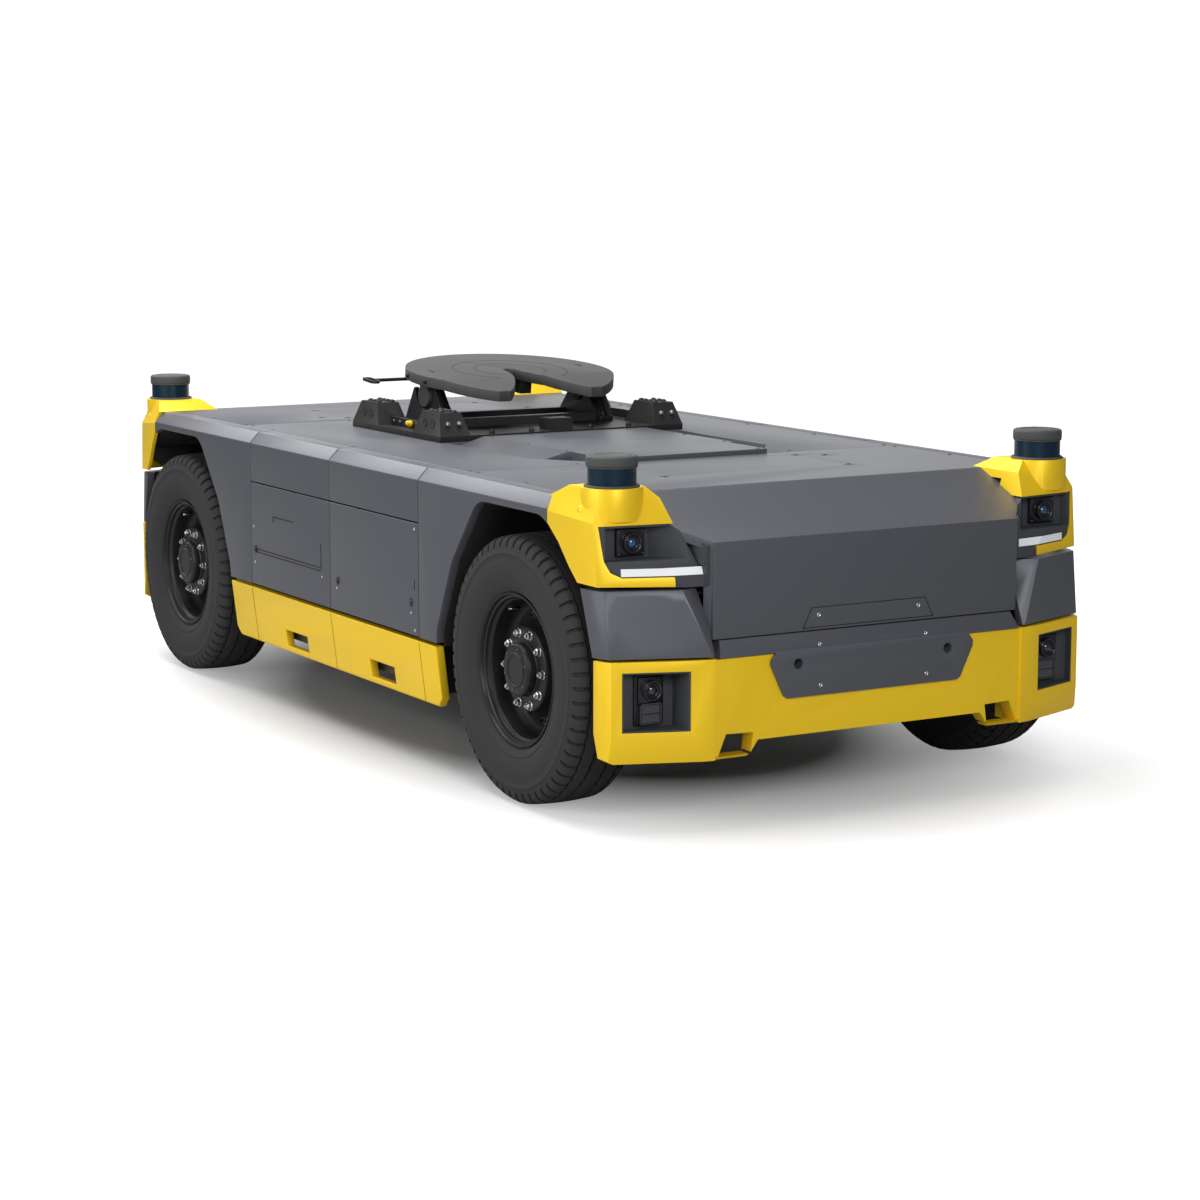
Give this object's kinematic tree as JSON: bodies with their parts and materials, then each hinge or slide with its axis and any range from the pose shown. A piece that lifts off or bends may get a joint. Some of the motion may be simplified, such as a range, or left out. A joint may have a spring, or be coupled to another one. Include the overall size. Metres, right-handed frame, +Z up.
{
  "type": "cabless terminal tractor",
  "caption": "Low flat cabless terminal tractor with steered wheels at both ends, side doors, corner lidar caps and a tilting coupling plate on its deck.",
  "frame": {"origin": "on the ground, under the middle of the machine's outline", "axes": "+X towards the trailer end, where a kingpin enters the coupling; +Y to the right when it drives lead end first; +Z up"},
  "size_m": [4.888, 2.3022, 1.5311],
  "materials": {
    "panel_grey": "satin dark grey paint",
    "safety_yellow": "semi-gloss yellow paint",
    "rim_black": "gloss black enamel",
    "tyre": "matt black rubber",
    "chassis_black": "satin black",
    "bellows_rubber": "matt rubber",
    "battery_case": "satin",
    "liner_plastic": "matt moulded plastic",
    "housing_plastic": "textured dark plastic",
    "light_bar": "lit white diffuser",
    "lamp_black": "dark lens and bezel",
    "lidar_glass": "gloss navy window",
    "lidar_cap": "matt grey plastic",
    "coupling_black": "satin black paint",
    "coupling_steel": "dark cast steel"
  },
  "bodies": {
    "chassis": {"hood_trailer_end": "panel_grey", "hood_lead_end": "panel_grey", "fenders": "panel_grey", "air_springs": "bellows_rubber", "frame_rails": "chassis_black", "cross_members": "chassis_black", "outriggers": "chassis_black", "batteries": "battery_case", "side_panels": "panel_grey", "skirts": "safety_yellow", "deck": "panel_grey", "deck_cover": "panel_grey", "axles": "chassis_black", "end_beams": "chassis_black", "bumpers": "safety_yellow", "bumper_plates": "panel_grey", "wheel_wells": "liner_plastic", "corner_bases": "safety_yellow", "corner_bands": "panel_grey", "corner_caps": "safety_yellow", "lamp_housings": "housing_plastic", "light_bars": "light_bar", "lamps": "lamp_black", "lidar_windows": "lidar_glass", "lidar_caps": "lidar_cap", "coupling_base": "coupling_black", "coupling_saddles": "coupling_black"},
    "coupling": {"coupling_plate": "coupling_steel", "coupling_lock": "coupling_black"},
    "wheel_trailer_end_right": {"rim_trailer_end_right": "rim_black", "tyre_trailer_end_right": "tyre"},
    "steer_trailer_end_right": {"knuckle_trailer_end_right": "chassis_black"},
    "hatch_trailer_end_right": {"door_trailer_end_right": "panel_grey"},
    "wheel_trailer_end_left": {"rim_trailer_end_left": "rim_black", "tyre_trailer_end_left": "tyre"},
    "steer_trailer_end_left": {"knuckle_trailer_end_left": "chassis_black"},
    "hatch_trailer_end_left": {"door_trailer_end_left": "panel_grey"},
    "wheel_lead_end_right": {"rim_lead_end_right": "rim_black", "tyre_lead_end_right": "tyre"},
    "steer_lead_end_right": {"knuckle_lead_end_right": "chassis_black"},
    "hatch_lead_end_right": {"door_lead_end_right": "panel_grey"},
    "wheel_lead_end_left": {"rim_lead_end_left": "rim_black", "tyre_lead_end_left": "tyre"},
    "steer_lead_end_left": {"knuckle_lead_end_left": "chassis_black"},
    "hatch_lead_end_left": {"door_lead_end_left": "panel_grey"}
  },
  "joints": [
    {"name": "steer_trailer_end_right", "type": "hinge", "parent": "chassis", "child": "steer_trailer_end_right", "pos_m": [1.668, 0.85, 0.522], "axis": [0, 0, 1], "range_deg": [-22, 22]},
    {"name": "spin_trailer_end_right", "type": "hinge", "parent": "steer_trailer_end_right", "child": "wheel_trailer_end_right", "pos_m": [1.668, 1, 0.522], "axis": [0, 1, 0], "continuous": true},
    {"name": "open_trailer_end_right", "type": "hinge", "parent": "chassis", "child": "hatch_trailer_end_right", "pos_m": [0.895, 1.15, 0.77], "axis": [0, 0, -1], "range_deg": [0, 95]},
    {"name": "steer_trailer_end_left", "type": "hinge", "parent": "chassis", "child": "steer_trailer_end_left", "pos_m": [1.668, -0.85, 0.522], "axis": [0, 0, 1], "range_deg": [-22, 22]},
    {"name": "spin_trailer_end_left", "type": "hinge", "parent": "steer_trailer_end_left", "child": "wheel_trailer_end_left", "pos_m": [1.668, -1, 0.522], "axis": [0, 1, 0], "continuous": true},
    {"name": "open_trailer_end_left", "type": "hinge", "parent": "chassis", "child": "hatch_trailer_end_left", "pos_m": [0.895, -1.15, 0.77], "axis": [0, 0, 1], "range_deg": [0, 95]},
    {"name": "steer_lead_end_right", "type": "hinge", "parent": "chassis", "child": "steer_lead_end_right", "pos_m": [-1.668, 0.85, 0.522], "axis": [0, 0, 1], "range_deg": [-22, 22]},
    {"name": "spin_lead_end_right", "type": "hinge", "parent": "steer_lead_end_right", "child": "wheel_lead_end_right", "pos_m": [-1.668, 1, 0.522], "axis": [0, 1, 0], "continuous": true},
    {"name": "open_lead_end_right", "type": "hinge", "parent": "chassis", "child": "hatch_lead_end_right", "pos_m": [-0.8, 1.15, 0.77], "axis": [0, 0, 1], "range_deg": [0, 95]},
    {"name": "steer_lead_end_left", "type": "hinge", "parent": "chassis", "child": "steer_lead_end_left", "pos_m": [-1.668, -0.85, 0.522], "axis": [0, 0, 1], "range_deg": [-22, 22]},
    {"name": "spin_lead_end_left", "type": "hinge", "parent": "steer_lead_end_left", "child": "wheel_lead_end_left", "pos_m": [-1.668, -1, 0.522], "axis": [0, 1, 0], "continuous": true},
    {"name": "open_lead_end_left", "type": "hinge", "parent": "chassis", "child": "hatch_lead_end_left", "pos_m": [-0.8, -1.15, 0.77], "axis": [0, 0, -1], "range_deg": [0, 95]},
    {"name": "coupling_tilt", "type": "hinge", "parent": "chassis", "child": "coupling", "pos_m": [-0.46, 0, 1.385], "axis": [0, 1, 0], "range_deg": [-15, 4]}
  ],
  "couplings": [
    {"joint": "steer_trailer_end_left", "follows": "steer_trailer_end_right", "ratio": 1},
    {"joint": "steer_lead_end_left", "follows": "steer_lead_end_right", "ratio": 1}
  ]
}
